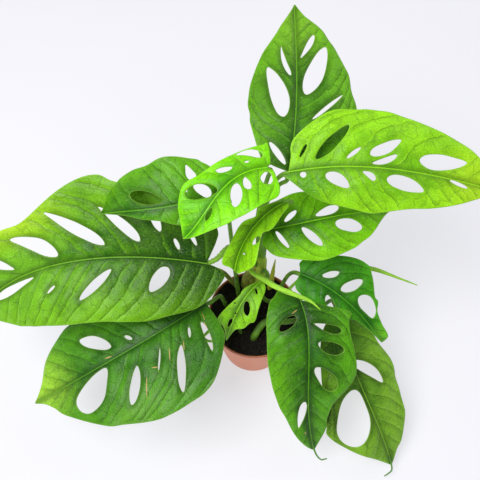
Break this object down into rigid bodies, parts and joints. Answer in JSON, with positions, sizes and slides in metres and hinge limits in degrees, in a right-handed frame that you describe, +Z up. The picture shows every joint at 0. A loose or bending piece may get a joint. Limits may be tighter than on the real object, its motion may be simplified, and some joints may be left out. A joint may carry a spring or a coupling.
{
  "type": "potted monstera obliqua",
  "caption": "Free-standing potted vine with thin, windowed leaves on bent stalks, in a tapered round nursery pot of peat.",
  "frame": {"origin": "centre of the pot's base, on the surface that it stands on", "axes": "+Z up through the pot's axis, -Y towards the front of the plant, +X to the right seen from the front"},
  "size_m": [0.5414, 0.4506, 0.297],
  "materials": {
    "leaf_lime": "satin, waxy, quilted young leaf",
    "leaf_green": "satin, waxy, quilted leaf",
    "leaf_dark": "satin, waxy, quilted mature leaf",
    "stem": "smooth, slightly fibrous green stem",
    "rolled_leaf": "satin, tightly rolled new leaf",
    "peat": "crumbly, matt",
    "terracotta_plastic": "matt moulded"
  },
  "bodies": {
    "root": {"curled_shoot": "rolled_leaf", "cut_stub": "stem", "leaf_centre_high": "leaf_lime", "leaf_front": "leaf_dark", "leaf_front_right": "leaf_dark", "leaf_left_big": "leaf_dark", "leaf_left_high": "leaf_green", "leaf_left_low": "leaf_dark", "leaf_right_high": "leaf_lime", "leaf_right_low": "leaf_dark", "leaf_right_middle": "leaf_green", "leaf_small_lace": "leaf_lime", "leaf_top": "leaf_green", "leaf_young_folded": "leaf_lime", "main_stem": "stem", "old_stalk": "stem", "pot": "terracotta_plastic", "rolled_leaf_front": "rolled_leaf", "rolled_leaf_right": "rolled_leaf", "rolled_leaf_upright": "rolled_leaf", "soil": "peat", "stalk_front": "stem", "stalk_front_right": "stem", "stalk_left_high": "stem", "stalk_left_low": "stem", "stalk_right_low": "stem"}
  },
  "joints": []
}
